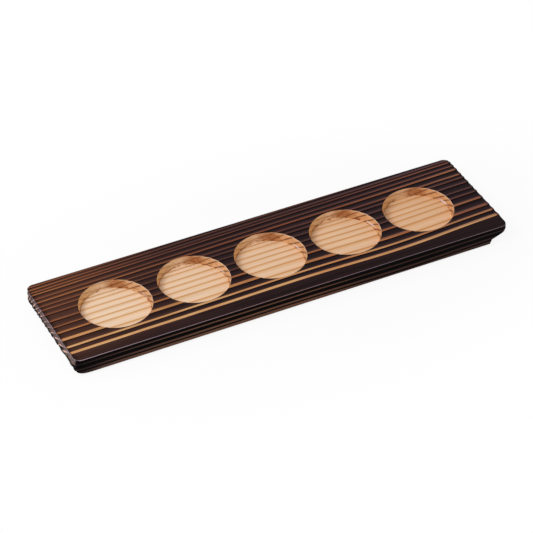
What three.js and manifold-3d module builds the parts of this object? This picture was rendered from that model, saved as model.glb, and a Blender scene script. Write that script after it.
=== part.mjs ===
// Sake tasting tray: one brushed cedar plank with five round cup recesses, on four small non-slip pads.
// Millimetres, +Z up. X runs along the plank, its front edge faces -Y, and the pads stand on Z = 0.
import * as THREE from 'three';
import { mergeVertices } from 'three/addons/utils/BufferGeometryUtils.js';
import Module from 'manifold-3d';

// Plank
const LENGTH = 390;
const WIDTH = 103;
const THICKNESS = 15; // from the underside to the crests of the grain
const CORNER_RADIUS = 6.3; // the four corners, seen from above
const EDGE_RADIUS = 1.2; // the long edges and the upper end edges
const LEFT_ROUND = 4.5; // the lower edge of the left end is rounded more

// Cup recesses, in one row along the middle
const RECESS_COUNT = 5;
const RECESS_PITCH = 69;
const RECESS_DIAMETER = 60;
const RECESS_DEPTH = 8;
const RECESS_FILLET = 1.8; // between the floor and the wall
const RIM_EASING = 0.5;

// Finger-hold cut under the right end: a lip, a slope that deepens inward, and a shoulder
const LIP_THICKNESS = 5;
const LIP_RADIUS = 3;
const HOLD_REACH = 15.3;
const HOLD_SLOPE = THREE.MathUtils.degToRad(21);
const SHOULDER_LEAN = 1.7;

// Raised grain: hard late wood stands proud where the soft wood beside it was brushed away.
// Each row is one ridge: how far behind the front edge it runs at the left end and at the right end,
// and the width of its crest.
const RIDGES = [
  [11.7, 17.2, 2.4],
  [19.3, 24.5, 2.2],
  [29.5, 32.6, 3.0],
  [38.7, 42.9, 1.8],
  [46.7, 52.5, 1.4],
  [54.5, 59.1, 1.4],
  [63.5, 67.4, 1.2],
  [69.5, 73.8, 1.2],
  [74.3, 78.8, 1.2],
  [80.0, 86.1, 1.4],
  [84.5, 91.6, 1.2],
  [90.0, 97.1, 1.2],
  [93.3, 100.7, 1.0],
  [97.0, 104.5, 1.0],
  [100.3, 107.8, 1.0],
];
const GROOVE_DEPTH = 0.9;
const GROOVE_KNEE = { across: 0.35, down: 0.6 }; // shares of a groove's width and depth
const GROOVE_LOWEST = 0.8; // share of its width

// Two shallow bends that pull the front ridges forward: distance from the left end, pull and spread
const GRAIN_BENDS = [
  { fromLeft: 300, pull: 3.4, spread: 55 },
  { fromLeft: 135, pull: 1.3, spread: 90 },
];

// Non-slip pads
const PAD_DIAMETER = 10;
const PAD_HEIGHT = 2;
const PAD_EDGE = 0.5;
const PAD_INSET = 10; // from the edge of the flat underside to the rim of a pad

// Levels and ends worked out from the sizes above
const UNDERSIDE = PAD_HEIGHT;
const TOP = UNDERSIDE + THICKNESS;
const FLOOR = TOP - RECESS_DEPTH;
const LEFT = -LENGTH / 2;
const RIGHT = LENGTH / 2;
const FRONT = -WIDTH / 2;
const FLAT_LEFT = LEFT + LEFT_ROUND; // the flat underside
const FLAT_RIGHT = RIGHT - HOLD_REACH - SHOULDER_LEAN;
const FLAT_FRONT = FRONT + EDGE_RADIUS;
const CLEAR = 2; // how far a cut reaches past the wood

// Fineness of the curved faces
const CORNER_SEGMENTS = 6;
const EDGE_SEGMENTS = 2;
const RECESS_SEGMENTS = 48;
const FILLET_SEGMENTS = 2;
const GROOVE_SEGMENTS = 10;
const PAD_SEGMENTS = 24;
const MERGE_DISTANCE = 1e-4;

const CHARRED_CEDAR = new THREE.MeshStandardMaterial({ color: 0x3d2a23, roughness: 0.5, metalness: 0 });
const PAD_RUBBER = new THREE.MeshStandardMaterial({ color: 0x2a2a2c, roughness: 0.85, metalness: 0 });

const wasm = await Module();
wasm.setup();

// A closed geometry as a solid, with shared corners merged and empty triangles dropped.
function toSolid(geometry) {
  const bare = geometry.clone();
  bare.deleteAttribute('normal');
  bare.deleteAttribute('uv');
  const merged = mergeVertices(bare, MERGE_DISTANCE);
  const index = merged.index.array;
  const kept = [];
  for (let i = 0; i < index.length; i += 3) {
    const [a, b, c] = [index[i], index[i + 1], index[i + 2]];
    if (a !== b && b !== c && c !== a) {
      kept.push(a, b, c);
    }
  }
  return new wasm.Manifold(new wasm.Mesh({
    numProp: 3,
    vertProperties: new Float32Array(merged.attributes.position.array),
    triVerts: new Uint32Array(kept),
  }));
}

// A solid back as a geometry.
function toGeometry(solid) {
  const mesh = solid.getMesh();
  const geometry = new THREE.BufferGeometry();
  geometry.setAttribute('position', new THREE.BufferAttribute(mesh.vertProperties, 3));
  geometry.setIndex(new THREE.BufferAttribute(mesh.triVerts, 1));
  geometry.computeVertexNormals();
  return geometry;
}

// A solid of revolution about +Z from a profile of [radius, height] points that starts and ends on the axis.
function turned(profile, segments) {
  const points = profile.map(([radius, height]) => new THREE.Vector2(radius, height));
  return new THREE.LatheGeometry(points, segments).rotateX(Math.PI / 2);
}

// A closed solid through matching convex sections, from the first to the last.
function lofted(sections) {
  const count = sections[0].length;
  const positions = sections.flatMap((section) => section.flatMap((p) => p.toArray()));
  const index = [];
  for (let s = 0; s + 1 < sections.length; s += 1) {
    for (let i = 0; i < count; i += 1) {
      const a = s * count + i;
      const b = s * count + ((i + 1) % count);
      index.push(a, b, a + count, b, b + count, a + count);
    }
  }
  const last = (sections.length - 1) * count;
  for (let i = 1; i + 1 < count; i += 1) {
    index.push(0, i + 1, i);
    index.push(last, last + i, last + i + 1);
  }
  const geometry = new THREE.BufferGeometry();
  geometry.setAttribute('position', new THREE.Float32BufferAttribute(positions, 3));
  geometry.setIndex(index);
  return geometry;
}

// A cut across the full width, from an outline in X and Z.
function acrossWidth(outline) {
  const depth = WIDTH + 2 * CLEAR;
  return new THREE.ExtrudeGeometry(outline, { depth, bevelEnabled: false, curveSegments: CORNER_SEGMENTS })
    .rotateX(Math.PI / 2)
    .translate(0, depth / 2, 0);
}

// The plank before any cut: a rounded rectangle with eased edges.
function blankPlank() {
  const halfLength = LENGTH / 2;
  const halfWidth = WIDTH / 2;
  const r = CORNER_RADIUS;
  const outline = new THREE.Shape();
  outline.absarc(halfLength - r, -halfWidth + r, r, -Math.PI / 2, 0);
  outline.absarc(halfLength - r, halfWidth - r, r, 0, Math.PI / 2);
  outline.absarc(-halfLength + r, halfWidth - r, r, Math.PI / 2, Math.PI);
  outline.absarc(-halfLength + r, -halfWidth + r, r, Math.PI, 1.5 * Math.PI);
  return new THREE.ExtrudeGeometry(outline, {
    depth: THICKNESS - 2 * EDGE_RADIUS,
    curveSegments: CORNER_SEGMENTS,
    bevelThickness: EDGE_RADIUS,
    bevelSize: EDGE_RADIUS,
    bevelOffset: -EDGE_RADIUS,
    bevelSegments: EDGE_SEGMENTS,
  }).translate(0, 0, UNDERSIDE + EDGE_RADIUS);
}

// The round on the lower edge of the left end.
function leftRoundCut() {
  const r = LEFT_ROUND;
  const outline = new THREE.Shape();
  outline.moveTo(LEFT - CLEAR, UNDERSIDE - CLEAR);
  outline.lineTo(LEFT + r, UNDERSIDE - CLEAR);
  outline.lineTo(LEFT + r, UNDERSIDE);
  outline.absarc(LEFT + r, UNDERSIDE + r, r, 1.5 * Math.PI, Math.PI, true);
  outline.lineTo(LEFT - CLEAR, UNDERSIDE + r);
  return acrossWidth(outline);
}

// The finger-hold under the right end.
function fingerHoldCut() {
  const lip = TOP - LIP_THICKNESS;
  const turn = (Math.PI / 2 - HOLD_SLOPE) / 2;
  const tangent = LIP_RADIUS * Math.tan(turn);
  const shoulderX = RIGHT - HOLD_REACH;
  const shoulderZ = lip - HOLD_REACH * Math.tan(HOLD_SLOPE);
  const outline = new THREE.Shape();
  outline.moveTo(RIGHT + CLEAR, UNDERSIDE - CLEAR);
  outline.lineTo(RIGHT + CLEAR, lip + tangent);
  outline.lineTo(RIGHT, lip + tangent);
  outline.quadraticCurveTo(
    RIGHT, lip,
    RIGHT - tangent * Math.cos(HOLD_SLOPE), lip - tangent * Math.sin(HOLD_SLOPE),
  );
  outline.lineTo(shoulderX, shoulderZ);
  outline.lineTo(shoulderX - SHOULDER_LEAN, UNDERSIDE);
  outline.lineTo(shoulderX - SHOULDER_LEAN, UNDERSIDE - CLEAR);
  return acrossWidth(outline);
}

// One cup recess at x: a flat floor, a small fillet, an upright wall and an eased rim.
function recessCut(x) {
  const radius = RECESS_DIAMETER / 2;
  const profile = [[0, FLOOR]];
  for (let i = 0; i <= FILLET_SEGMENTS; i += 1) {
    const angle = (i / FILLET_SEGMENTS) * (Math.PI / 2);
    profile.push([
      radius - RECESS_FILLET * (1 - Math.sin(angle)),
      FLOOR + RECESS_FILLET * (1 - Math.cos(angle)),
    ]);
  }
  profile.push([radius, TOP - RIM_EASING]);
  profile.push([radius + RIM_EASING + CLEAR, TOP + CLEAR]);
  profile.push([0, TOP + CLEAR]);
  return turned(profile, RECESS_SEGMENTS).translate(x, 0, 0);
}

// Where the middle of a ridge lies at x.
function ridgeAt([fromLeft, fromRight], x) {
  const along = x - LEFT;
  const straight = THREE.MathUtils.lerp(fromLeft, fromRight, along / LENGTH);
  const frontness = THREE.MathUtils.clamp(1 - fromLeft / WIDTH, 0, 1);
  let pull = 0;
  for (const bend of GRAIN_BENDS) {
    pull += bend.pull * Math.exp(-(((along - bend.fromLeft) / bend.spread) ** 2));
  }
  return FRONT + straight - frontness * pull;
}

// The soft wood brushed out in front of a ridge, from the ridge before it or from the front edge:
// a long slope down towards the back, then a steep rise.
function grooveCut(before, after) {
  const sections = [];
  for (let i = 0; i <= GROOVE_SEGMENTS; i += 1) {
    const x = THREE.MathUtils.lerp(LEFT - CLEAR, RIGHT + CLEAR, i / GROOVE_SEGMENTS);
    const start = before ? ridgeAt(before, x) + before[2] / 2 : FRONT - CLEAR;
    const end = ridgeAt(after, x) - after[2] / 2;
    const across = (part) => THREE.MathUtils.lerp(start, end, part);
    sections.push([
      new THREE.Vector3(x, start, TOP + CLEAR),
      new THREE.Vector3(x, start, TOP),
      new THREE.Vector3(x, across(GROOVE_KNEE.across), TOP - GROOVE_KNEE.down * GROOVE_DEPTH),
      new THREE.Vector3(x, across(GROOVE_LOWEST), TOP - GROOVE_DEPTH),
      new THREE.Vector3(x, end, TOP),
      new THREE.Vector3(x, end, TOP + CLEAR),
    ]);
  }
  return lofted(sections);
}

function cedarPlank() {
  const cuts = [leftRoundCut(), fingerHoldCut()];
  for (let i = 0; i < RECESS_COUNT; i += 1) {
    cuts.push(recessCut((i - (RECESS_COUNT - 1) / 2) * RECESS_PITCH));
  }
  for (let i = 0; i < RIDGES.length; i += 1) {
    cuts.push(grooveCut(RIDGES[i - 1], RIDGES[i]));
  }
  let plank = toSolid(blankPlank());
  for (const cut of cuts) {
    plank = plank.subtract(toSolid(cut));
  }
  const mesh = new THREE.Mesh(toGeometry(plank), CHARRED_CEDAR);
  mesh.name = 'cedar_plank';
  return mesh;
}

function pad(name, x, y) {
  const radius = PAD_DIAMETER / 2;
  const profile = [[0, 0], [radius - PAD_EDGE, 0], [radius, PAD_EDGE], [radius, PAD_HEIGHT], [0, PAD_HEIGHT]];
  const geometry = toGeometry(toSolid(turned(profile, PAD_SEGMENTS)));
  const mesh = new THREE.Mesh(geometry, PAD_RUBBER);
  mesh.name = name;
  mesh.position.set(x, y, 0);
  return mesh;
}

const tray = new THREE.Group();
tray.add(cedarPlank());
const padOffset = PAD_INSET + PAD_DIAMETER / 2;
const padLeft = FLAT_LEFT + padOffset;
const padRight = FLAT_RIGHT - padOffset;
const padFront = FLAT_FRONT + padOffset;
tray.add(pad('pad_front_left', padLeft, padFront));
tray.add(pad('pad_front_right', padRight, padFront));
tray.add(pad('pad_back_left', padLeft, -padFront));
tray.add(pad('pad_back_right', padRight, -padFront));

export default tray;
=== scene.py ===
# Sake tasting tray: a charred and wire-brushed cedar plank with five bare cup recesses, on four rubber pads.
# Metres, +Z up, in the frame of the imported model. X runs along the plank and its front edge faces -Y.
import math

import bpy
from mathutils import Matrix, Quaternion, Vector


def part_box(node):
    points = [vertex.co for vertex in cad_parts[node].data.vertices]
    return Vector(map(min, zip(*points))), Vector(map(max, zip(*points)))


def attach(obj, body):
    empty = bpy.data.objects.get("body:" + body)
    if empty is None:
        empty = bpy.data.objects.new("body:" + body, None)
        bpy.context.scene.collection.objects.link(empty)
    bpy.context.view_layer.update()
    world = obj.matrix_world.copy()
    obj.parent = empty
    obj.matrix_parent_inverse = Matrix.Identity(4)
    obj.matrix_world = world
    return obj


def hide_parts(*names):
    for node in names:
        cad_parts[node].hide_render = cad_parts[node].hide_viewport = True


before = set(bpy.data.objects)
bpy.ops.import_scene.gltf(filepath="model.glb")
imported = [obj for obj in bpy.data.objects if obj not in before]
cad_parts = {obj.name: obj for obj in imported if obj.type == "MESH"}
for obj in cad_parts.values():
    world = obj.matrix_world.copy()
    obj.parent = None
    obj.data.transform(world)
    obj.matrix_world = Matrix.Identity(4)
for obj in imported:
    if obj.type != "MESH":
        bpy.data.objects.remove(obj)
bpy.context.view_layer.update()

MM = 0.001

# Plank, taken from its solid
PLANK_LOW, PLANK_HIGH = (Vector(corner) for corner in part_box("cedar_plank"))
LENGTH = PLANK_HIGH.x - PLANK_LOW.x
WIDTH = PLANK_HIGH.y - PLANK_LOW.y
THICKNESS = PLANK_HIGH.z - PLANK_LOW.z
TOP = PLANK_HIGH.z
CORNER_RADIUS = 6.3 * MM
EDGE_RADIUS = 0.6 * MM
LEFT_ROUND = 5.2 * MM  # under the left end
LEFT_CORNERS = 0.65  # how much that round is drawn out at the two corners

# Finger-hold under the right end
LIP_THICKNESS = 5 * MM
LIP_RADIUS = 3 * MM
HOLD_REACH = 15.3 * MM
HOLD_SLOPE = math.radians(21)
SHOULDER_LEAN = 1.7 * MM

# Cup recesses
RECESS_COUNT = 5
RECESS_PITCH = 69 * MM
RECESS_RADIUS = 30 * MM
RECESS_DEPTH = 8 * MM
WALL_LEAN = math.radians(9)  # away from upright
RECESS_FILLET = 0.7 * MM
RIM_EASING = 0.4 * MM
RIM_DROP = 1.4 * MM  # how far below the top face the easing of the rim starts

# Growth rings, from the heart of the tree outwards. Each row has the ring's distance behind the front
# edge at the left end and at the right end, and the width of its hard crest, all in mm. Then comes how bare
# the brush left that crest at the left end, in the middle and at the right end. A ring with a distance
# below zero reaches only the front face and the underside. The others dip towards the back, so that at the
# floor of the recesses each lies about under the next one. The last value is how much more a ring dips, in
# mm for each mm of depth.
RINGS = (
    (-33.8, -29.8, 1.4, 0.26, 0.40, 0.20, 0.0),
    (-30.6, -26.5, 1.6, 0.26, 0.40, 0.22, 0.0),
    (-27.6, -23.6, 1.4, 0.10, 0.37, 0.08, 0.0),
    (-20.9, -17.9, 1.2, 0.04, 0.34, 0.05, 0.0),
    (11.4, 16.8, 2.0, 0.84, 0.88, 0.92, 0.0),
    (18.7, 24.5, 1.7, 0.84, 0.82, 0.74, 0.08),
    (28.7, 32.2, 2.4, 0.76, 0.70, 0.50, 0.26),
    (37.8, 43.0, 1.3, 0.59, 0.60, 0.64, 0.15),
    (45.5, 52.2, 0.8, 0.45, 0.25, 0.32, 0.14),
    (53.5, 58.2, 0.8, 0.46, 0.21, 0.29, -0.11),
    (62.6, 66.4, 0.8, 0.38, 0.19, 0.32, 0.05),
    (68.8, 73.5, 0.8, 0.43, 0.23, 0.32, 0.0),
    (73.5, 78.4, 0.8, 0.41, 0.27, 0.64, 0.0),
    (79.4, 86.2, 1.1, 0.53, 0.40, 0.64, 0.0),
    (83.8, 91.5, 0.9, 0.42, 0.28, 0.40, 0.0),
    (89.5, 96.8, 1.0, 0.53, 0.26, 0.46, 0.0),
    (92.6, 99.9, 1.0, 0.47, 0.22, 0.27, 0.0),
    (96.2, 105.0, 1.1, 0.48, 0.23, 0.26, 0.0),
    (99.9, 107.4, 1.0, 0.40, 0.20, 0.22, 0.0),
    (103.6, 110.8, 1.0, 0.36, 0.20, 0.22, 0.0),
    (107.2, 114.2, 1.0, 0.36, 0.20, 0.22, 0.0),
)
LAST_RING = len(RINGS) - 1
FRONT_RINGS = sum(row[0] < 0 for row in RINGS)  # rings that do not reach the top face
BROAD_GAP = 20  # mm between rings that only the groove along the front edge exceeds
PITH_DEPTH = 28 * MM  # depth of the heart below the top face
PITH_SET_OFF = 8.5 * MM  # distance of the heart in front of the front edge, at the left end
PITH_DRIFT = 5.5 * MM  # how much nearer the heart comes towards the right end
# Each bend of the grain has a distance from the left end, a pull forward and a spread, in mm
GRAIN_BENDS = ((295, 4.1, 62), (135, 0.6, 90))
GRAIN_WOBBLE = 0.5 * MM

# Wire brushing: how deep the soft wood was worn, and the share of that on each kind of face
BRUSHED_DEPTH = 0.32 * MM
BRUSHED_END = 2.2
BRUSHED_SIDE = 0.2
BRUSHED_UNDERSIDE = 0.4
BRUSHED_MARGIN = 2.5 * MM  # the brushing of the top fades out over this width along the two long edges
# Share of the depth across a groove, from its front to its back
GROOVE_PROFILE = ((0, 0), (0.06, 0.10), (0.35, 0.62), (0.86, 1.0), (1, 0))
ARRIS_SCALE = 2.6  # brings the highest value of the arris attribute to 1

# Where the colour of the wood changes
CREST_FRONT = 0.3  # mm over which a crest fades on its steep front
CREST_BACK = 0.8  # mm over which it fades on its back slope
SHEEN_WIDTH = 2.2  # mm of sheen behind a crest
DEEP_CHAR = 10 * MM  # width along the front edge with the deepest char
TIP_START, TIP_END = 1 * MM, 5 * MM  # from the left end, where the grooves run out black
SHEEN_TINT_REACH = 140 * MM  # the bare wood grows redder from this far left of the middle to this far right of it
CUTTER_ENTRY = (-0.42, -0.91, 0)  # way that a wall faces where the cutter came in
GLINT_FACING = (-0.974, -0.225, 0)  # way that a wall faces where it has a painted glint

# Net of the plank
FINE_STEP = 0.7 * MM
HOLD_STEP = 1.0 * MM
LONG_STEP = 4.0 * MM
CROSS_STEP = 0.33 * MM
UNDERSIDE_STRIDE = 3  # cross steps that one face of the underside spans
EDGE_ROWS = 4
SIDE_ROWS = 10
RECESS_SEGMENTS = 96
FLOOR_ROWS = 14
FILLET_ROWS = 4
WALL_ROWS = 4
CUTTER_CLEARANCE = 2 * MM  # how far the cutter stands above the top face
SHARP_ANGLE = math.radians(50)  # edges that turn by more stay sharp

# Pads
PAD_EDGE = 0.5 * MM
PAD_BEND = 0.3 * PAD_EDGE  # inset of the middle of the rounded edge
PAD_SEGMENTS = 48
PAD_NODES = ("pad_front_left", "pad_front_right", "pad_back_left", "pad_back_right")

# Camera, set from the edges of the plank and the rims of the recesses
CAMERA_PLACE = Vector((-725.8, -1431.5, 1302.7)) * MM
CAMERA_AIM = Vector((-9.6, -11.8, 16.96)) * MM
CAMERA_ROLL = math.radians(0.22)
SENSOR = 36.0
IMAGE_SIDE = 533
FOCAL_PIXELS = 2522.7

# Studio. Each lamp has a name, a place, a side in metres and a power in watts.
FLOOR_REACH = 4.0
SHADOW_START, SHADOW_END = 0.2, 0.36  # from the middle of the tray, where its shadow fades out
WORLD_LIGHT = 0.46
LAMPS = (
    ("key_lamp", (-0.75, -0.25, 0.9), 0.6, 7.4),
    ("back_lamp", (-0.5, 0.55, 0.85), 0.25, 1.5),
)


def linear(hex_colour):
    """An sRGB hex colour as linear RGBA."""
    parts = [int(hex_colour[i:i + 2], 16) / 255 for i in (1, 3, 5)]
    return [p / 12.92 if p <= 0.04045 else ((p + 0.055) / 1.055) ** 2.4 for p in parts] + [1.0]


WHITE = linear("#ffffff")


def add(tree, kind, links=None, stops=None, **settings):
    """Adds a node with its settings, its inputs set or linked, and the stops of its ramp or curve.
    Gives back its first live output."""
    node = tree.nodes.new(kind)
    for name, value in settings.items():
        setattr(node, name, value)
    for key, value in (links or {}).items():
        if isinstance(value, bpy.types.NodeSocket):
            tree.links.new(value, node.inputs[key])
        else:
            node.inputs[key].default_value = value
    if stops and hasattr(node, "color_ramp"):
        spots = node.color_ramp.elements
        spots[0].position, spots[0].color = stops[0][0], linear(stops[0][1])
        spots[1].position, spots[1].color = stops[-1][0], linear(stops[-1][1])
        for place, colour in stops[1:-1]:
            spots.new(place).color = linear(colour)
    elif stops:
        spots = node.mapping.curves[0].points
        while len(spots) < len(stops):
            spots.new(0.5, 0.5)
        for spot, place in zip(spots, stops):
            spot.location = place
            spot.handle_type = "VECTOR"
        node.mapping.update()
    return next((socket for socket in node.outputs if socket.enabled), None)


def calc(tree, operation, *values, **settings):
    """A step of arithmetic on node outputs and numbers."""
    return add(tree, "ShaderNodeMath", dict(enumerate(values)), operation=operation, **settings)


def between(tree, share, start, end):
    """The number that lies a share of the way from start to end."""
    return add(tree, "ShaderNodeMix", {0: share, 2: start, 3: end}, data_type="FLOAT")


def blend(tree, share, colour, other):
    """A colour with a share of another one in it."""
    return add(tree, "ShaderNodeMix", {0: share, 6: colour, 7: other}, data_type="RGBA")


def tinted(tree, colour, tint):
    """A colour multiplied by another one, or by a number."""
    return add(tree, "ShaderNodeMix", {0: 1.0, 6: colour, 7: tint}, data_type="RGBA", blend_type="MULTIPLY")


def new_object(name, vertices, faces):
    mesh = bpy.data.meshes.new(name)
    mesh.from_pydata(vertices, [], faces)
    mesh.validate()
    piece = bpy.data.objects.new(name, mesh)
    bpy.context.collection.objects.link(piece)
    return piece


def run_tree(piece, tree, values):
    """Runs a node tree on a piece and keeps what it makes as the piece's plain mesh."""
    modifier = piece.modifiers.new(tree.name, "NODES")
    modifier.node_group = tree
    for item in tree.interface.items_tree:
        if item.in_out == "INPUT" and item.name in values:
            modifier[item.identifier] = values[item.name]
    evaluated = piece.evaluated_get(bpy.context.evaluated_depsgraph_get())
    mesh = bpy.data.meshes.new_from_object(evaluated)
    piece.modifiers.remove(modifier)
    piece.data = mesh


def new_tree(name, inputs):
    """A node tree for a piece, with its named inputs; gives back the tree and its input sockets by name."""
    tree = bpy.data.node_groups.new(name, "GeometryNodeTree")
    tree.is_modifier = True
    for label, kind in {"Geometry": "NodeSocketGeometry", **inputs}.items():
        tree.interface.new_socket(label, in_out="INPUT", socket_type=kind)
    tree.interface.new_socket("Geometry", in_out="OUTPUT", socket_type="NodeSocketGeometry")
    entry = tree.nodes.new("NodeGroupInput")
    return tree, entry.outputs


# Growth rings and fibres, for shapes and materials alike

def wood_noise(tree, place, length, width, height, detail):
    """Noise in cells of the given size in mm, along the plank, across it and through it."""
    cells = (1 / length, 1 / width, 1 / height)
    stretch = add(tree, "ShaderNodeVectorMath", {0: place, 1: cells}, operation="MULTIPLY")
    return add(tree, "ShaderNodeTexNoise", {"Vector": stretch, "Scale": 1 / MM, "Detail": detail})


def by_gap(tree, inside, measure):
    """A measure of the gap between a ring and the next one, by the share of all rings that lie inside."""
    values = [measure(RINGS[i], RINGS[i + 1], RINGS[i + 1][0] - RINGS[i][0]) for i in range(LAST_RING)]
    stops = [(i / LAST_RING, value) for i, value in enumerate(values + values[-1:])]
    return add(tree, "ShaderNodeFloatCurve", {"Value": inside}, stops)


def groove_place(tree, ring):
    """From a ring number: the place across the soft groove, 0 at the crest before it and 1 at the next one,
    and the share of all rings that lie inside it."""
    inside = calc(tree, "FLOOR", ring)
    inside = calc(tree, "DIVIDE", inside, LAST_RING)
    part = calc(tree, "FRACT", ring)
    start = by_gap(tree, inside, lambda inner, outer, gap: inner[2] / 2 / gap)
    end = by_gap(tree, inside, lambda inner, outer, gap: 1 - outer[2] / 2 / gap)
    groove = add(tree, "ShaderNodeMapRange", {"Value": part, "From Min": start, "From Max": end})
    return groove, inside


def ring_number(tree, size):
    """The number of the growth ring at each point. Rings are arcs about the heart of the tree, which lies
    in front of the plank and below its top."""
    place = add(tree, "GeometryNodeInputPosition")
    x, y, z = add(tree, "ShaderNodeSeparateXYZ", {0: place}).node.outputs
    half = calc(tree, "MULTIPLY", size["Length"], 0.5)
    along = calc(tree, "ADD", x, half)
    part = calc(tree, "DIVIDE", along, size["Length"])
    front = calc(tree, "MULTIPLY", size["Width"], -0.5)

    pull = 0.0
    for middle, reach, spread in GRAIN_BENDS:
        off = calc(tree, "SUBTRACT", along, middle * MM)
        off = calc(tree, "DIVIDE", off, spread * MM)
        fall = calc(tree, "MULTIPLY", off, off)
        fall = calc(tree, "MULTIPLY", fall, -1.0)
        fall = calc(tree, "EXPONENT", fall)
        pull = calc(tree, "MULTIPLY_ADD", fall, reach * MM, pull)

    heart = calc(tree, "SUBTRACT", front, PITH_SET_OFF)
    heart = calc(tree, "MULTIPLY_ADD", part, PITH_DRIFT, heart)
    heart = calc(tree, "SUBTRACT", heart, pull)
    across = calc(tree, "SUBTRACT", y, heart)
    across = calc(tree, "MULTIPLY", across, across)
    depth = calc(tree, "SUBTRACT", size["Top"], z)
    up = calc(tree, "SUBTRACT", PITH_DEPTH, depth)
    square = calc(tree, "MULTIPLY_ADD", up, up, across)
    square = calc(tree, "SUBTRACT", square, PITH_DEPTH ** 2)
    sign = calc(tree, "SIGN", square)
    reach = calc(tree, "ABSOLUTE", square)
    reach = calc(tree, "SQRT", reach)
    level = calc(tree, "MULTIPLY_ADD", sign, reach, heart)

    # The rings wander in waves about 45 mm long and 9 mm wide
    noise = wood_noise(tree, place, 45, 9, 9, 1.0)
    noise = calc(tree, "SUBTRACT", noise, 0.5)
    level = calc(tree, "MULTIPLY_ADD", noise, GRAIN_WOBBLE, level)

    lines = []
    for left, right, *_ in RINGS:
        drift = (right - left) * MM
        line = calc(tree, "MULTIPLY_ADD", part, drift, left * MM)
        line = calc(tree, "ADD", line, front)
        frontness = min(max(1 - left * MM / WIDTH, 0), 1)
        line = calc(tree, "MULTIPLY_ADD", pull, -frontness, line)
        lines.append(line)
    below = calc(tree, "DIVIDE", depth, RECESS_DEPTH)
    ring = 0.0
    before = None
    for i, line in enumerate(lines):
        if i >= FRONT_RINGS:
            j = min(i, LAST_RING - 1)
            dip = calc(tree, "SUBTRACT", lines[j + 1], lines[j])
            line = calc(tree, "MULTIPLY_ADD", dip, below, line)
            more = RINGS[i][6]
            line = calc(tree, "MULTIPLY_ADD", depth, more, line)
        if before:
            gap = add(tree, "ShaderNodeMapRange", {"Value": level, "From Min": before, "From Max": line})
            ring = calc(tree, "ADD", gap, ring)
        before = line
    return ring


# Plank

def rounded(x, y, half_x, half_y, radius):
    """Moves a point of a rectangular net so that the corners of the rectangle come out round.
    Also gives the outward direction there, which counts only on the outline."""
    over_x = max(abs(x) - half_x + radius, 0)
    over_y = max(abs(y) - half_y + radius, 0)
    far = math.hypot(over_x, over_y)
    if not far:
        return x, y, 0, 0
    pull = max(over_x, over_y) / far
    if over_x and over_y:
        x = math.copysign(half_x - radius + over_x * pull, x)
        y = math.copysign(half_y - radius + over_y * pull, y)
    return x, y, math.copysign(over_x / far, x), math.copysign(over_y / far, y)


def depth_at(x, y):
    """How far below the top face the underside lies."""
    cornering = max(abs(y) - WIDTH / 2 + CORNER_RADIUS, 0) / CORNER_RADIUS
    from_left = max(x - PLANK_LOW.x, 0) * (1 - LEFT_CORNERS * cornering)
    from_right = max(PLANK_HIGH.x - x, 0)
    if from_left < LEFT_ROUND:
        return THICKNESS - LEFT_ROUND + math.sqrt(LEFT_ROUND ** 2 - (LEFT_ROUND - from_left) ** 2)
    hold = LIP_THICKNESS + from_right * math.tan(HOLD_SLOPE)
    tangent = LIP_RADIUS * math.tan((math.pi / 2 - HOLD_SLOPE) / 2)
    curve_end = tangent * math.cos(HOLD_SLOPE)
    if from_right < curve_end:
        part = math.sqrt(from_right / curve_end)
        start = LIP_THICKNESS - tangent
        end = LIP_THICKNESS + tangent * math.sin(HOLD_SLOPE)
        return start * (1 - part) ** 2 + LIP_THICKNESS * 2 * part * (1 - part) + end * part ** 2
    if from_right <= HOLD_REACH:
        return hold
    shoulder = LIP_THICKNESS + HOLD_REACH * math.tan(HOLD_SLOPE)
    part = min((from_right - HOLD_REACH) / SHOULDER_LEAN, 1)
    return shoulder + (THICKNESS - shoulder) * part


def at_depth(x, y, depth):
    """A point of the plank, with everything below the upper edge squeezed to the depth of the wood there."""
    if depth > EDGE_RADIUS:
        share = (depth - EDGE_RADIUS) / (THICKNESS - EDGE_RADIUS)
        depth = EDGE_RADIUS + share * (depth_at(x, y) - EDGE_RADIUS)
    return x, y, TOP - depth


def steps(start, end, step):
    count = max(round((end - start) / step), 1)
    return [start + (end - start) * i / count for i in range(count)]


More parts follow.
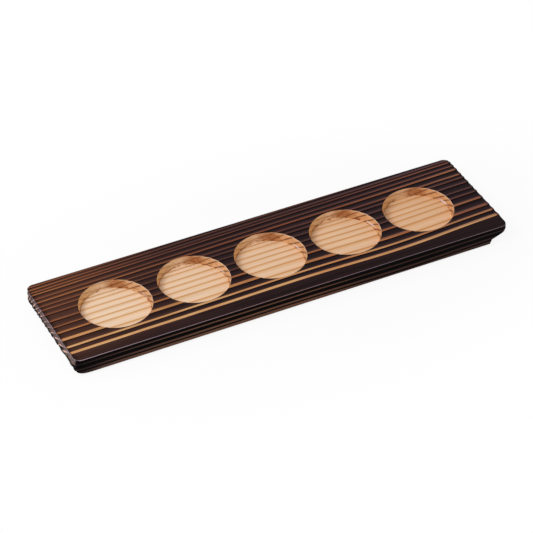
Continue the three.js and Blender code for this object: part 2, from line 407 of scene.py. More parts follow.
def plank_blank():
    """The sawn plank before brushing, as a closed net of faces that is fine across the grain."""
    half_x = LENGTH / 2 - EDGE_RADIUS
    half_y = WIDTH / 2 - EDGE_RADIUS
    corner = CORNER_RADIUS - EDGE_RADIUS
    left_fine = -half_x + CORNER_RADIUS
    left_round = -half_x + LEFT_ROUND / (1 - LEFT_CORNERS)
    hold_start = PLANK_HIGH.x - HOLD_REACH - SHOULDER_LEAN
    right_fine = half_x - corner
    stops = (-half_x, left_fine, left_round, hold_start, hold_start + SHOULDER_LEAN, right_fine, half_x)
    paces = (FINE_STEP, HOLD_STEP, LONG_STEP, HOLD_STEP, HOLD_STEP, FINE_STEP)
    columns = []
    for start, end, pace in zip(stops, stops[1:], paces):
        columns += steps(start, end, pace)
    columns.append(half_x)
    cross = UNDERSIDE_STRIDE * round(2 * half_y / CROSS_STEP / UNDERSIDE_STRIDE)
    rows = [-half_y + 2 * half_y * j / cross for j in range(cross + 1)]

    vertices = []
    faces = []

    def point(x, y, out, depth):
        px, py, nx, ny = rounded(x, y, half_x, half_y, corner)
        vertices.append(at_depth(px + nx * out, py + ny * out, depth))
        return len(vertices) - 1

    last_i = len(columns) - 1
    last_j = len(rows) - 1
    upper = [[point(x, y, 0, 0) for y in rows] for x in columns]
    for i in range(last_i):
        for j in range(last_j):
            faces.append((upper[i][j], upper[i + 1][j], upper[i + 1][j + 1], upper[i][j + 1]))

    outline = [(i, 0) for i in range(last_i)] + [(last_i, j) for j in range(last_j)]
    outline += [(i, last_j) for i in range(last_i, 0, -1)] + [(0, j) for j in range(last_j, 0, -1)]
    belt = []
    for k in range(1, EDGE_ROWS + 1):
        angle = math.pi / 2 * k / EDGE_ROWS
        belt.append((EDGE_RADIUS * math.sin(angle), EDGE_RADIUS * (1 - math.cos(angle))))
    straight = THICKNESS - 2 * EDGE_RADIUS
    for k in range(1, SIDE_ROWS):
        belt.append((EDGE_RADIUS, EDGE_RADIUS + straight * k / SIDE_ROWS))
    for k in range(EDGE_ROWS):
        angle = math.pi / 2 * k / EDGE_ROWS
        belt.append((EDGE_RADIUS * math.cos(angle), THICKNESS - EDGE_RADIUS * (1 - math.sin(angle))))
    loops = [[upper[i][j] for i, j in outline]]
    for out, depth in belt:
        loops.append([point(columns[i], rows[j], out, depth) for i, j in outline])
    loops.append([point(columns[i], rows[j], 0, THICKNESS) for i, j in outline])
    count = len(outline)
    for high, low in zip(loops, loops[1:]):
        for k in range(count):
            faces.append((high[k], low[k], low[(k + 1) % count], high[(k + 1) % count]))

    lower = {spot: index for spot, index in zip(outline, loops[-1])}
    for i in range(1, last_i):
        for j in range(UNDERSIDE_STRIDE, last_j, UNDERSIDE_STRIDE):
            lower[i, j] = point(columns[i], rows[j], 0, THICKNESS)
    for i in range(last_i):
        for j in range(0, last_j, UNDERSIDE_STRIDE):
            k = j + UNDERSIDE_STRIDE
            near = [(i, j)] + ([(i, m) for m in range(j + 1, k)] if i == 0 else []) + [(i, k)]
            far = [(i + 1, k)]
            far += [(i + 1, m) for m in range(k - 1, j, -1)] if i + 1 == last_i else []
            faces.append([lower[spot] for spot in near + far + [(i + 1, j)]])
    return new_object("brushed_plank", vertices, faces)


def turned(name, profile, segments):
    """A closed turned form about +Z, from (radius, height) points that start and end on the axis."""
    vertices = [(0, 0, profile[0][1])]
    for radius, height in profile[1:-1]:
        for k in range(segments):
            angle = 2 * math.pi * k / segments
            vertices.append((radius * math.cos(angle), radius * math.sin(angle), height))
    vertices.append((0, 0, profile[-1][1]))
    last = len(vertices) - 1
    rings = len(profile) - 2
    faces = []
    for k in range(segments):
        after = (k + 1) % segments
        faces.append((0, 1 + after, 1 + k))
        for r in range(rings - 1):
            low = 1 + r * segments
            high = low + segments
            faces.append((low + k, low + after, high + after, high + k))
        top = 1 + (rings - 1) * segments
        faces.append((last, top + k, top + after))
    return new_object(name, vertices, faces)


def recess_cutter():
    """What the router took out for one cup: flat floor, small fillet, leaning wall and eased rim."""
    floor = TOP - RECESS_DEPTH
    wall_end = TOP - RIM_DROP
    rim = RECESS_RADIUS - RIM_EASING
    foot = rim - (wall_end - floor) * math.tan(WALL_LEAN)
    bend = math.pi / 2 - WALL_LEAN
    flat = foot - RECESS_FILLET * math.tan(bend / 2)
    profile = [(flat * k / FLOOR_ROWS, floor) for k in range(FLOOR_ROWS)]
    for k in range(FILLET_ROWS + 1):
        angle = bend * k / FILLET_ROWS
        rise = RECESS_FILLET * (1 - math.cos(angle))
        profile.append((flat + RECESS_FILLET * math.sin(angle), floor + rise))
    wall, wall_start = profile[-1]
    for k in range(1, WALL_ROWS + 1):
        share = k / WALL_ROWS
        profile.append((wall + (rim - wall) * share, wall_start + (wall_end - wall_start) * share))
    end = TOP + CUTTER_CLEARANCE
    profile.append((rim + RIM_EASING * (RIM_DROP + CUTTER_CLEARANCE) / RIM_DROP, end))
    profile.append((0, end))
    return turned("recess_cutter", profile, RECESS_SEGMENTS)


def brushing_tree():
    """Brushes the soft wood out between the rings, then routs the row of recesses."""
    tree, size = new_tree("wire brushing and recesses", {
        "Length": "NodeSocketFloat",
        "Width": "NodeSocketFloat",
        "Top": "NodeSocketFloat",
        "Brushed depth": "NodeSocketFloat",
        "Recess count": "NodeSocketInt",
        "Recess pitch": "NodeSocketFloat",
        "Recess cutter": "NodeSocketObject",
        "Charred wood": "NodeSocketMaterial",
        "Bare wood": "NodeSocketMaterial",
    })
    ring = ring_number(tree, size)
    groove, _ = groove_place(tree, ring)
    groove = add(tree, "ShaderNodeFloatCurve", {"Value": groove}, GROOVE_PROFILE)

    normal = add(tree, "GeometryNodeInputNormal")
    along, side, up = add(tree, "ShaderNodeSeparateXYZ", {0: normal}).node.outputs
    upward = calc(tree, "GREATER_THAN", up, 0.0)
    share = add(tree, "ShaderNodeMapRange", {"Value": upward, "To Min": BRUSHED_UNDERSIDE, "To Max": 1.0})
    place = add(tree, "GeometryNodeInputPosition")
    across = add(tree, "ShaderNodeSeparateXYZ", {0: place}).node.outputs["Y"]
    across = calc(tree, "ABSOLUTE", across)
    half = calc(tree, "MULTIPLY", size["Width"], 0.5)
    inset = calc(tree, "SUBTRACT", half, across)
    margin = add(tree, "ShaderNodeMapRange", {
        "Value": inset, "From Min": EDGE_RADIUS, "From Max": BRUSHED_MARGIN,
    })
    share = calc(tree, "MULTIPLY", share, margin)
    for part, worn in ((along, BRUSHED_END), (side, BRUSHED_SIDE)):
        square = calc(tree, "MULTIPLY", part, part)
        share = between(tree, square, share, worn)
    inward = -1.0
    for factor in (groove, share, size["Brushed depth"]):
        inward = calc(tree, "MULTIPLY", inward, factor)
    offset = add(tree, "ShaderNodeVectorMath", {0: normal, "Scale": inward}, operation="SCALE")
    # The arris attribute is highest half way round the upper edge, and 0 on the top face and the sides
    flank = calc(tree, "MULTIPLY", up, up)
    flank = calc(tree, "SUBTRACT", 1.0, flank)
    arris = ARRIS_SCALE
    for factor in (up, flank, upward):
        arris = calc(tree, "MULTIPLY", arris, factor)
    plank = add(tree, "GeometryNodeStoreNamedAttribute", {
        "Geometry": size["Geometry"], "Name": "arris", "Value": arris,
    })
    plank = add(tree, "GeometryNodeSetPosition", {"Geometry": plank, "Offset": offset})
    plank = add(tree, "GeometryNodeSetMaterial", {"Geometry": plank, "Material": size["Charred wood"]})

    gaps = calc(tree, "SUBTRACT", size["Recess count"], 1.0)
    start = calc(tree, "MULTIPLY", gaps, size["Recess pitch"])
    start = calc(tree, "MULTIPLY", start, -0.5)
    row = add(tree, "GeometryNodeMeshLine", {
        "Count": size["Recess count"],
        "Start Location": add(tree, "ShaderNodeCombineXYZ", {"X": start}),
        "Offset": add(tree, "ShaderNodeCombineXYZ", {"X": size["Recess pitch"]}),
    })
    cutter = add(tree, "GeometryNodeObjectInfo", {"Object": size["Recess cutter"]}).node.outputs["Geometry"]
    cutters = add(tree, "GeometryNodeInstanceOnPoints", {"Points": row, "Instance": cutter})
    cutters = add(tree, "GeometryNodeRealizeInstances", {"Geometry": cutters})
    cutters = add(tree, "GeometryNodeSetMaterial", {"Geometry": cutters, "Material": size["Bare wood"]})
    plank = add(
        tree, "GeometryNodeMeshBoolean", {"Mesh 1": plank, "Mesh 2": cutters},
        operation="DIFFERENCE", solver="MANIFOLD",
    )
    plank = add(tree, "GeometryNodeStoreNamedAttribute", {"Geometry": plank, "Name": "ring", "Value": ring})
    plank = add(tree, "GeometryNodeSetShadeSmooth", {"Geometry": plank})
    plank = add(tree, "GeometryNodeRealizeInstances", {"Geometry": plank})
    bare = add(tree, "GeometryNodeMaterialSelection", {"Material": size["Bare wood"]})
    plank = add(tree, "GeometryNodeSetMaterial", {
        "Geometry": plank, "Selection": bare, "Material": size["Bare wood"],
    })
    add(tree, "NodeGroupOutput", {"Geometry": plank})
    return tree


# Pads

def pad_tree():
    """Sets one pad at each of the given points."""
    tree, size = new_tree("non-slip pads", {"Pad": "NodeSocketObject", "Rubber": "NodeSocketMaterial"})
    pad = add(tree, "GeometryNodeObjectInfo", {"Object": size["Pad"]}).node.outputs["Geometry"]
    pads = add(tree, "GeometryNodeInstanceOnPoints", {"Points": size["Geometry"], "Instance": pad})
    pads = add(tree, "GeometryNodeRealizeInstances", {"Geometry": pads})
    pads = add(tree, "GeometryNodeSetMaterial", {"Geometry": pads, "Material": size["Rubber"]})
    add(tree, "NodeGroupOutput", {"Geometry": pads})
    return tree


# Materials

def new_material(name):
    material = bpy.data.materials.new(name)
    material.use_nodes = True
    tree = material.node_tree
    tree.nodes.clear()
    return material, tree


def lay_surface(tree, colour, relief, smooth, rough, bump, depth, shine):
    """Ends a material: its colour, with roughness from smooth to rough and a bump by the relief."""
    roughness = add(tree, "ShaderNodeMapRange", {"Value": relief, "To Min": smooth, "To Max": rough})
    normal = add(tree, "ShaderNodeBump", {"Height": relief, "Strength": bump, "Distance": depth})
    shader = add(tree, "ShaderNodeBsdfPrincipled", {
        "Base Color": colour, "Roughness": roughness, "Normal": normal, "Specular IOR Level": shine,
    })
    add(tree, "ShaderNodeOutputMaterial", {"Surface": shader})


def charred_cedar():
    """Cedar, charred, wire-brushed and clear-coated: black-brown soft wood, with hard rings rubbed back to
    orange."""
    material, tree = new_material("cedar_charred_wire_brushed")
    ring = add(tree, "ShaderNodeAttribute", attribute_name="ring").node.outputs["Fac"]
    arris = add(tree, "ShaderNodeAttribute", attribute_name="arris").node.outputs["Fac"]
    place = add(tree, "ShaderNodeTexCoord").node.outputs["Object"]
    x, y, z = add(tree, "ShaderNodeSeparateXYZ", {0: place}).node.outputs
    part = add(tree, "ShaderNodeMapRange", {"Value": x, "From Min": PLANK_LOW.x, "From Max": PLANK_HIGH.x})
    height = add(tree, "ShaderNodeMapRange", {"Value": z, "From Min": PLANK_LOW.z, "From Max": TOP})
    normal = add(tree, "ShaderNodeNewGeometry").node.outputs["Normal"]
    along, side, up = add(tree, "ShaderNodeSeparateXYZ", {0: normal}).node.outputs
    along = calc(tree, "ABSOLUTE", along)
    end_grain = add(tree, "ShaderNodeMapRange", {"Value": along, "From Min": 0.8, "From Max": 0.95})
    upright = calc(tree, "MULTIPLY", side, side)
    # The round corners at the front belong to the front face
    corner = add(tree, "ShaderNodeMapRange", {"Value": side, "From Min": -0.3, "From Max": -0.5})
    sheer = add(tree, "ShaderNodeMapRange", {"Value": up, "From Min": 0.6, "From Max": 0.3})
    corner = calc(tree, "MULTIPLY", corner, sheer)
    upright = calc(tree, "MAXIMUM", upright, corner)

    # Fibres 0.3 mm across, drawn 0.9 mm wide and 60 mm long so that they show
    fibre = wood_noise(tree, place, 60, 0.9, 0.9, 3.0)
    # Patches about 40 mm long where the brush bit more or less
    patch = wood_noise(tree, place, 40, 3, 3, 2.0)

    # Soft wood: deep char, rubbed brown towards the left end, darkest on the sides
    groove, inside = groove_place(tree, ring)
    # The broad groove along the front edge is even all over
    widest = by_gap(tree, inside, lambda inner, outer, gap: 0.3 if gap > BROAD_GAP else 1.0)
    tone = calc(tree, "MINIMUM", groove, widest)
    # The back edge was sawn along the rings, so it shows only a faint broad figure
    behind = add(tree, "ShaderNodeMapRange", {"Value": side, "From Min": 0.3, "From Max": 0.8})
    tone = between(tree, behind, tone, 0.4)
    # Both ramps are lighter just behind a crest and darkest at the foot of the next crest's steep front:
    # painted shade across each groove
    char_with_groove_shade = add(tree, "ShaderNodeValToRGB", {"Fac": tone}, (
        (0, "#36241f"), (0.3, "#291b1c"), (0.6, "#1f1418"), (0.82, "#140c10"), (0.95, "#090507"),
        (1, "#070405"),
    ))
    brown_with_groove_shade = add(tree, "ShaderNodeValToRGB", {"Fac": tone}, (
        (0, "#65402f"), (0.3, "#4c3027"), (0.75, "#3c241d"), (0.92, "#24150f"), (1, "#190f0b"),
    ))
    rubbed = add(tree, "ShaderNodeFloatCurve", {"Value": part}, (
        (0, 1), (0.06, 0.85), (0.2, 0.35), (0.4, 0.05), (1, 0),
    ))
    more = add(tree, "ShaderNodeMapRange", {
        "Value": y, "From Min": PLANK_LOW.y, "From Max": PLANK_HIGH.y, "To Min": 0.55, "To Max": 1.4,
    })
    level = calc(tree, "SUBTRACT", 1.0, upright)
    for share in (more, level):
        rubbed = calc(tree, "MULTIPLY", rubbed, share)
    char = blend(tree, rubbed, char_with_groove_shade, brown_with_groove_shade)
    light = add(tree, "ShaderNodeMapRange", {
        "Value": fibre, "From Min": 0.3, "From Max": 0.7, "To Min": 0.55, "To Max": 1.45,
    })
    darkest = add(tree, "ShaderNodeMapRange", {"Value": behind, "To Min": 0.12, "To Max": 0.4})
    dark = add(tree, "ShaderNodeMapRange", {"Value": upright, "To Min": 1.0, "To Max": darkest})
    # The char is deepest along the front edge and at the tips of the grooves
    inset = add(tree, "ShaderNodeMapRange", {
        "Value": y, "From Min": PLANK_LOW.y, "From Max": PLANK_LOW.y + DEEP_CHAR,
        "To Min": 0.6, "To Max": 1.05,
    })
    tip = add(tree, "ShaderNodeMapRange", {
        "Value": x, "From Min": PLANK_LOW.x + TIP_START, "From Max": PLANK_LOW.x + TIP_END,
        "To Min": 0.45, "To Max": 1.0,
    })
    for shade in (dark, inset, tip):
        light = calc(tree, "MULTIPLY", light, shade)
    soft = tinted(tree, char, light)

    # Hard crests: from charred to bare orange wood, by ring and along it
    nearest = calc(tree, "ROUND", ring)
    nearest = calc(tree, "DIVIDE", nearest, LAST_RING)
    thirds = []
    for column in (3, 4, 5):
        stops = [(i / LAST_RING, row[column]) for i, row in enumerate(RINGS)]
        thirds.append(add(tree, "ShaderNodeFloatCurve", {"Value": nearest}, stops))
    leftness = add(tree, "ShaderNodeMapRange", {"Value": part, "From Min": 0.04, "From Max": 0.3})
    bare = between(tree, leftness, thirds[0], thirds[1])
    rightness = add(tree, "ShaderNodeMapRange", {"Value": part, "From Min": 0.7, "From Max": 0.95})
    bare = between(tree, rightness, bare, thirds[2])
    worn = add(tree, "ShaderNodeMapRange", {
        "Value": patch, "From Min": 0.3, "From Max": 0.7, "To Min": 0.9, "To Max": 1.1,
    })
    bare = calc(tree, "MULTIPLY", bare, worn, use_clamp=True)
    # The brush did not reach the last millimetres of the ends
    reached = add(tree, "ShaderNodeFloatCurve", {"Value": part}, (
        (0, 0), (0.001, 0), (0.004, 1), (0.993, 1), (0.998, 0), (1, 0),
    ))
    bare = calc(tree, "MULTIPLY", bare, reached)
    # It did not reach the front face near the left corner either, and it reached less of it on the right
    reached = add(tree, "ShaderNodeFloatCurve", {"Value": part}, (
        (0, 0), (0.02, 0.1), (0.06, 0.8), (0.15, 1), (0.52, 1), (0.66, 0.45), (0.8, 0.35), (1, 0.6),
    ))
    reached = between(tree, upright, 1.0, reached)
    bare = calc(tree, "MULTIPLY", bare, reached)
    hard = add(tree, "ShaderNodeValToRGB", {"Fac": bare}, (
        (0, "#241a1b"), (0.2, "#4d322d"), (0.4, "#7d4a33"), (0.6, "#a66a41"), (0.8, "#c99361"),
        (1, "#e4b985"),
    ))
    # The hard rings are redder from the middle to the right end
    redder = add(tree, "ShaderNodeMapRange", {"Value": part, "From Min": 0.25, "From Max": 0.55})
    redder = blend(tree, redder, WHITE, linear("#ffeee0"))
    hard = tinted(tree, hard, redder)
    # Painted sheen: a grey reflection of the clear coat, painted on the hard rings at the right end
    painted_grey_sheen = calc(tree, "MULTIPLY", rightness, 0.08)
    hard = blend(tree, painted_grey_sheen, hard, linear("#6a5a60"))
    # The hard rings on the front face are duller and greyer brown
    dull = calc(tree, "MULTIPLY", upright, bare)
    dull = calc(tree, "MULTIPLY", dull, 1.3)
    hard = blend(tree, dull, hard, linear("#5e5046"))

    # A crest is crisp on its steep front and fades on its back slope
    crisp = by_gap(tree, inside, lambda inner, outer, gap: 1 - CREST_FRONT / gap)
    front = add(tree, "ShaderNodeMapRange", {"Value": groove, "From Min": crisp, "From Max": 1.0})
    fading = by_gap(tree, inside, lambda inner, outer, gap: CREST_BACK / gap)
    back = add(
        tree, "ShaderNodeMapRange",
        {"Value": groove, "From Min": 0.0, "From Max": fading, "To Min": 1.0, "To Max": 0.0},
        interpolation_type="SMOOTHSTEP",
    )
    crest = calc(tree, "MAXIMUM", front, back)
    faint = add(tree, "ShaderNodeMapRange", {"Value": behind, "To Min": 1.0, "To Max": 0.25})
    crest = calc(tree, "MULTIPLY", crest, faint)

    # End grain is greyer, with pinkish hard rings. Its top is a painted highlight in bluish grey, and where
    # it rounds under it is painted black as painted shade. Its fibres are torn in tufts about 3 mm across.
    torn = add(tree, "ShaderNodeTexNoise", {"Vector": place, "Scale": 1 / (3 * MM), "Detail": 2.0})
    torn = calc(tree, "SUBTRACT", torn, 0.5)
    broken = add(tree, "ShaderNodeMapRange", {
        "Value": torn, "From Min": -0.08, "From Max": 0.05, "To Min": 0.3, "To Max": 1.0,
    })
    torn = calc(tree, "MULTIPLY_ADD", torn, 0.7, height)
    grey = add(tree, "ShaderNodeValToRGB", {"Fac": torn}, (
        (0, "#070506"), (0.46, "#0d0a0a"), (0.61, "#6b554e"), (0.67, "#785d55"), (0.77, "#4c3e3d"),
        (0.86, "#574b4d"), (1, "#776a70"),
    ))
    pink = add(tree, "ShaderNodeValToRGB", {"Fac": torn}, (
        (0, "#0a0707"), (0.42, "#120d0e"), (0.55, "#cfa79c"), (0.64, "#dcb3a7"), (0.75, "#b08f83"),
        (0.86, "#8b7775"), (1, "#8a7b7f"),
    ))
    outer = calc(tree, "GREATER_THAN", ring, FRONT_RINGS - 0.5)
    pink = blend(tree, outer, grey, pink)
    sawn = blend(tree, crest, grey, pink)
    # It is palest towards the front
    paler = add(tree, "ShaderNodeMapRange", {
        "Value": y, "From Min": PLANK_LOW.y, "From Max": PLANK_HIGH.y, "To Min": 1.3, "To Max": 0.85,
    })
    sawn = tinted(tree, sawn, paler)
    colour = blend(tree, crest, soft, hard)
    colour = blend(tree, end_grain, colour, sawn)
    # Painted sheen: the lacquer's reflection, painted lilac on the slope behind each crest, towards the
    # right end
    slope = by_gap(tree, inside, lambda inner, outer, gap: min(SHEEN_WIDTH / gap, 1))
    slope = add(tree, "ShaderNodeMapRange", {
        "Value": groove, "From Min": 0.0, "From Max": slope, "To Min": 1.0, "To Max": 0.0,
    })
    painted_sheen = add(tree, "ShaderNodeMapRange", {
        "Value": part, "From Min": 0.25, "From Max": 0.95, "To Max": 0.4,
    })
    for share in (slope, level):
        painted_sheen = calc(tree, "MULTIPLY", painted_sheen, share)
    colour = blend(tree, painted_sheen, colour, linear("#5c4c58"))
    # Painted highlight: the gloss of the lacquer along the upper edges, painted as a dusty grey that is
    # browner towards the middle
    painted_edge_highlight = add(tree, "ShaderNodeMapRange", {"Value": part, "To Min": 1.0, "To Max": 0.5})
    painted_edge_highlight = add(tree, "ShaderNodeMapRange", {"Value": arris, "From Min": 0.2, "From Max": 0.9, "To Max": painted_edge_highlight})
    ended = add(tree, "ShaderNodeMapRange", {"Value": along, "From Min": 0.2, "From Max": 0.5})
    broken = between(tree, ended, 1.0, broken)
    painted_edge_highlight = calc(tree, "MULTIPLY", painted_edge_highlight, broken)
    highlight_greys = add(tree, "ShaderNodeValToRGB", {"Fac": part}, (
        (0, "#b299a2"), (0.2, "#9a828b"), (0.45, "#a6807d"), (0.75, "#9c8391"), (1, "#b6939a"),
    ))
    colour = blend(tree, painted_edge_highlight, colour, highlight_greys)

    lay_surface(tree, colour, fibre, smooth=0.38, rough=0.62, bump=0.5, depth=0.15 * MM, shine=0.02)
    return material


def bare_cedar():
    """Cedar, freshly routed and clear-coated: pale straw soft wood with thin orange hard rings. The walls
    are darker near the floor, partly scorched by the cutter and partly painted shade, and their end grain
    drank more of the clear coat."""
    material, tree = new_material("cedar_bare_routed")
    ring = add(tree, "ShaderNodeAttribute", attribute_name="ring").node.outputs["Fac"]
    place = add(tree, "ShaderNodeTexCoord").node.outputs["Object"]
    x, _, z = add(tree, "ShaderNodeSeparateXYZ", {0: place}).node.outputs
    normal = add(tree, "ShaderNodeNewGeometry").node.outputs["Normal"]
    along, _, up = add(tree, "ShaderNodeSeparateXYZ", {0: normal}).node.outputs
    wall = add(tree, "ShaderNodeMapRange", {"Value": up, "From Min": 0.97, "From Max": 0.8})

    # Fibres 0.3 mm across, drawn 0.8 mm wide and 50 mm long so that they show
    fibre = wood_noise(tree, place, 50, 0.8, 0.8, 3.0)
    # Scorch marks about 4 mm long and 1.5 mm high
    mark = wood_noise(tree, place, 4, 4, 1.5, 3.0)

    part = calc(tree, "FRACT", ring)
    grain = add(tree, "ShaderNodeValToRGB", {"Fac": part}, (
        (0, "#c28a54"), (0.04, "#dcb48a"), (0.12, "#e9c9a9"), (0.45, "#edd1b6"), (0.78, "#e6c29c"),
        (0.93, "#d4a26e"), (1, "#b97c40"),
    ))
    light = add(tree, "ShaderNodeMapRange", {
        "Value": fibre, "From Min": 0.3, "From Max": 0.7, "To Min": 0.88, "To Max": 1.06,
    })
    wood = tinted(tree, grain, light)
    # The wood is painted a little redder towards the right end; the paler left stands in for the whitish
    # sheen of the clear coat there, a painted reflection
    right = add(tree, "ShaderNodeMapRange", {"Value": x, "From Min": -SHEEN_TINT_REACH, "From Max": SHEEN_TINT_REACH})
    painted_sheen_tint = blend(tree, right, WHITE, linear("#ffecd8"))
    wood = tinted(tree, wood, painted_sheen_tint)

    # On the walls the rings blur, and the end grain is deeper in colour
    facing = add(tree, "ShaderNodeMapRange", {"Value": along, "From Min": -1.0, "From Max": 1.0})
    hazy = add(tree, "ShaderNodeValToRGB", {"Fac": facing}, (
        (0, "#e3bd95"), (0.4, "#e6c19a"), (0.6, "#f3cda4"), (1, "#fcd9ae"),
    ))
    blurred = add(tree, "ShaderNodeMapRange", {"Value": facing, "To Min": 0.45, "To Max": 0.65})
    blurred = calc(tree, "MULTIPLY", wall, blurred)
    wood = blend(tree, blurred, wood, hazy)
    thirsty = add(tree, "ShaderNodeValToRGB", {"Fac": facing}, (
        (0, "#f3dfc8"), (0.1, "#f3dfc8"), (0.25, "#f2dcc0"), (0.5, "#ffffff"), (0.71, "#fff9e6"),
        (0.9, "#ffe6bc"), (1, "#ffe2b6"),
    ))
    wood = tinted(tree, wood, thirsty)
    # The walls darken in patches towards the floor: partly scorch marks, partly painted shade at the foot of
    # the wall
    low = add(tree, "ShaderNodeMapRange", {
        "Value": z, "From Min": TOP - 0.45 * RECESS_DEPTH, "From Max": TOP - 0.95 * RECESS_DEPTH,
        "To Min": 0.25, "To Max": 1.0,
    })
    patchy = add(tree, "ShaderNodeMapRange", {
        "Value": mark, "From Min": 0.48, "From Max": 0.68, "To Min": 0.0, "To Max": 1.3,
    })
    # There are fewer scorch marks on the left
    calm = add(tree, "ShaderNodeFloatCurve", {"Value": facing}, ((0, 1), (0.4, 1), (0.6, 0.65), (1, 0.6)))
    patchy = calc(tree, "MULTIPLY", patchy, calm)
    scorch_and_shade = calc(tree, "MULTIPLY", low, patchy)
    # The cutter came in at the back right of each recess and burnt the wall there
    entry = add(tree, "ShaderNodeVectorMath", {0: normal, 1: CUTTER_ENTRY}, operation="DOT_PRODUCT")
    entry = add(tree, "ShaderNodeMapRange", {
        "Value": entry.node.outputs["Value"], "From Min": 0.92, "From Max": 1.0,
    })
    scorch_and_shade = calc(tree, "MULTIPLY_ADD", entry, 0.8, scorch_and_shade)
    # Painted shadow: a dark line along the foot of the left wall
    line = add(tree, "ShaderNodeMapRange", {
        "Value": z, "From Min": TOP - 0.68 * RECESS_DEPTH, "From Max": TOP - 0.88 * RECESS_DEPTH,
    })
    foot_shadow_share = add(tree, "ShaderNodeMapRange", {
        "Value": facing, "From Min": 0.5, "From Max": 0.8, "To Max": 0.6,
    })
    scorch_and_shade = calc(tree, "MULTIPLY_ADD", line, foot_shadow_share, scorch_and_shade)
    scorch_and_shade = calc(tree, "MULTIPLY", scorch_and_shade, wall, use_clamp=True)
    scorch_and_shade_colour = linear("#b4855a")
    scorch_and_shade_colour = tinted(tree, wood, scorch_and_shade_colour)
    colour = blend(tree, scorch_and_shade, wood, scorch_and_shade_colour)
    # Hard rings are dark on the walls, most of all on the right, where they are cut across
    cut = add(tree, "ShaderNodeFloatCurve", {"Value": part}, (
        (0, 1), (0.06, 0.75), (0.15, 0), (0.8, 0), (0.91, 0.75), (1, 1),
    ))
    across = add(tree, "ShaderNodeFloatCurve", {"Value": facing}, (
        (0, 1), (0.05, 1), (0.3, 0.5), (0.5, 0.3), (0.7, 0.3), (1, 0.35),
    ))
    for share in (across, wall):
        cut = calc(tree, "MULTIPLY", cut, share)
    colour = blend(tree, cut, colour, linear("#68402b"))
    # Painted glint: a pale streak of reflected light along the foot of the right wall
    painted_glint = add(tree, "ShaderNodeVectorMath", {0: normal, 1: GLINT_FACING}, operation="DOT_PRODUCT")
    painted_glint = add(tree, "ShaderNodeMapRange", {
        "Value": painted_glint.node.outputs["Value"], "From Min": 0.962, "From Max": 0.982, "To Max": 0.75,
    })
    foot = add(tree, "ShaderNodeMapRange", {
        "Value": z, "From Min": TOP - 0.62 * RECESS_DEPTH, "From Max": TOP - 0.78 * RECESS_DEPTH,
    })
    more = add(tree, "ShaderNodeMapRange", {"Value": right, "To Min": 0.35, "To Max": 1.2})
    for share in (foot, more):
        painted_glint = calc(tree, "MULTIPLY", painted_glint, share)
    colour = blend(tree, painted_glint, colour, linear("#f0e2e0"))
    # Painted highlight: the eased rim is painted palest on the side that faces the key lamp
    rim = add(tree, "ShaderNodeMapRange", {
        "Value": z, "From Min": TOP - 1.2 * MM, "From Max": TOP - 0.5 * MM, "To Max": 0.5,
    })
    lit = add(tree, "ShaderNodeMapRange", {"Value": facing, "From Min": 0.32, "From Max": 0.06})
    rim = calc(tree, "MULTIPLY", rim, lit)
    colour = blend(tree, rim, colour, linear("#f6dfc8"))

    lay_surface(tree, colour, fibre, smooth=0.3, rough=0.5, bump=0.3, depth=0.06 * MM, shine=0.2)
    return material


def pad_rubber():
    """Rubber, moulded matt: near black, with a fine stipple."""
    material, tree = new_material("rubber_moulded_matt")
    place = add(tree, "ShaderNodeTexCoord").node.outputs["Object"]
    # Stipple of about 0.5 mm
    stipple = add(tree, "ShaderNodeTexNoise", {"Vector": place, "Scale": 1 / (0.5 * MM), "Detail": 2.0})
    colour = add(tree, "ShaderNodeValToRGB", {"Fac": stipple}, ((0, "#232325"), (1, "#343437")))
    lay_surface(tree, colour, stipple, smooth=0.75, rough=0.95, bump=0.4, depth=0.05 * MM, shine=0.5)
    return material


def seen_background(tree):
    """1 for rays by which the camera sees the background, in gloss and glass too, and 0 for all others."""
    rays = add(tree, "ShaderNodeLightPath").node.outputs
    seen = rays["Is Camera Ray"]
    for kind in ("Is Glossy Ray", "Is Transmission Ray"):
        seen = calc(tree, "MAXIMUM", seen, rays[kind])
    return seen


def set_up(name, data, place, aim, roll=0.0):
    """Puts a lamp or the camera at its place and turns it to its aim."""
    holder = bpy.data.objects.new(name, data)
    holder.location = place
    holder.rotation_mode = "QUATERNION"
    gaze = (Vector(aim) - Vector(place)).to_track_quat("-Z", "Y")
    holder.rotation_quaternion = gaze @ Quaternion((0, 0, 1), roll)
    bpy.context.collection.objects.link(holder)
    return holder


# Pieces

plank = plank_blank()
cutter = recess_cutter()
run_tree(plank, brushing_tree(), {
    "Length": LENGTH,
    "Width": WIDTH,
    "Top": TOP,
    "Brushed depth": BRUSHED_DEPTH,
    "Recess count": RECESS_COUNT,
    "Recess pitch": RECESS_PITCH,
    "Recess cutter": cutter,
    "Charred wood": charred_cedar(),
    "Bare wood": bare_cedar(),
})
bpy.data.objects.remove(cutter)
plank.data.set_sharp_from_angle(angle=SHARP_ANGLE)
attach(plank, "root")
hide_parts("cedar_plank")

pad_boxes = [[Vector(corner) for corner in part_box(node)] for node in PAD_NODES]
pad_radius = (pad_boxes[0][1].x - pad_boxes[0][0].x) / 2
pad_height = pad_boxes[0][1].z - pad_boxes[0][0].z
pads = new_object("non_slip_pads", [((a.x + b.x) / 2, (a.y + b.y) / 2, a.z) for a, b in pad_boxes], [])
pad = turned("pad", [
    (0, 0), (pad_radius - PAD_EDGE, 0), (pad_radius - PAD_BEND, PAD_BEND), (pad_radius, PAD_EDGE),
    (pad_radius, pad_height), (0, pad_height),
], PAD_SEGMENTS)
run_tree(pads, pad_tree(), {"Pad": pad, "Rubber": pad_rubber()})
bpy.data.objects.remove(pad)
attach(pads, "root")
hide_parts(*PAD_NODES)

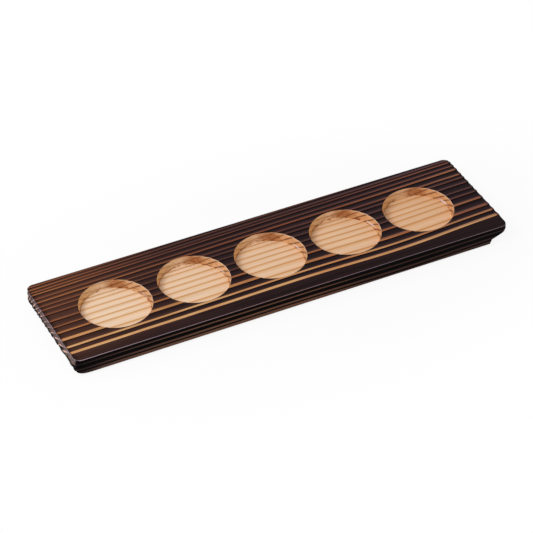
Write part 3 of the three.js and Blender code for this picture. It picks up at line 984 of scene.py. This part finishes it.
# Floor, white to the camera away from the tray, with the tray's soft shadow near it
corners = [(x * FLOOR_REACH, y * FLOOR_REACH, 0) for x, y in ((-1, -1), (1, -1), (1, 1), (-1, 1))]
floor = new_object("floor", corners, [(0, 1, 2, 3)])
floor_paint, tree = new_material("floor_matt_white")
place = add(tree, "ShaderNodeTexCoord").node.outputs["Object"]
# The patch of shadow is twice as long as it is wide
flat = add(tree, "ShaderNodeVectorMath", {0: place, 1: (1.0, 2.0, 1.0)}, operation="MULTIPLY")
away = add(tree, "ShaderNodeVectorMath", {0: flat}, operation="LENGTH").node.outputs["Value"]
glow = add(tree, "ShaderNodeMapRange", {
    "Value": away, "From Min": SHADOW_START, "From Max": SHADOW_END, "To Min": 0.9, "To Max": 1.0,
})
glow = calc(tree, "MULTIPLY", glow, seen_background(tree))
matt = add(tree, "ShaderNodeBsdfDiffuse", {"Color": linear("#f2f2f2")})
white = add(tree, "ShaderNodeEmission", {"Color": WHITE, "Strength": 1.0})
surface = add(tree, "ShaderNodeMixShader", {0: glow, 1: matt, 2: white})
add(tree, "ShaderNodeOutputMaterial", {"Surface": surface})
floor.data.materials.append(floor_paint)

# Studio: white surroundings to the camera and to reflections, a weak even light, and two soft lamps
scene = bpy.context.scene
scene.view_settings.view_transform = "Standard"
world = bpy.data.worlds.new("studio")
world.use_nodes = True
scene.world = world
tree = world.node_tree
tree.nodes.clear()
dim = add(tree, "ShaderNodeBackground", {"Color": WHITE, "Strength": WORLD_LIGHT})
white = add(tree, "ShaderNodeBackground", {"Color": WHITE, "Strength": 1.0})
sky = add(tree, "ShaderNodeMixShader", {0: seen_background(tree), 1: dim, 2: white})
add(tree, "ShaderNodeOutputWorld", {"Surface": sky})

for name, place, side, watts in LAMPS:
    lamp = bpy.data.lights.new(name, "AREA")
    lamp.shape = "SQUARE"
    lamp.size = side
    lamp.energy = watts
    set_up(name, lamp, place, (0, 0, 0))

camera = bpy.data.cameras.new("camera")
camera.sensor_width = SENSOR
camera.lens = FOCAL_PIXELS / IMAGE_SIDE * SENSOR
scene.camera = set_up("camera", camera, CAMERA_PLACE, CAMERA_AIM, CAMERA_ROLL)
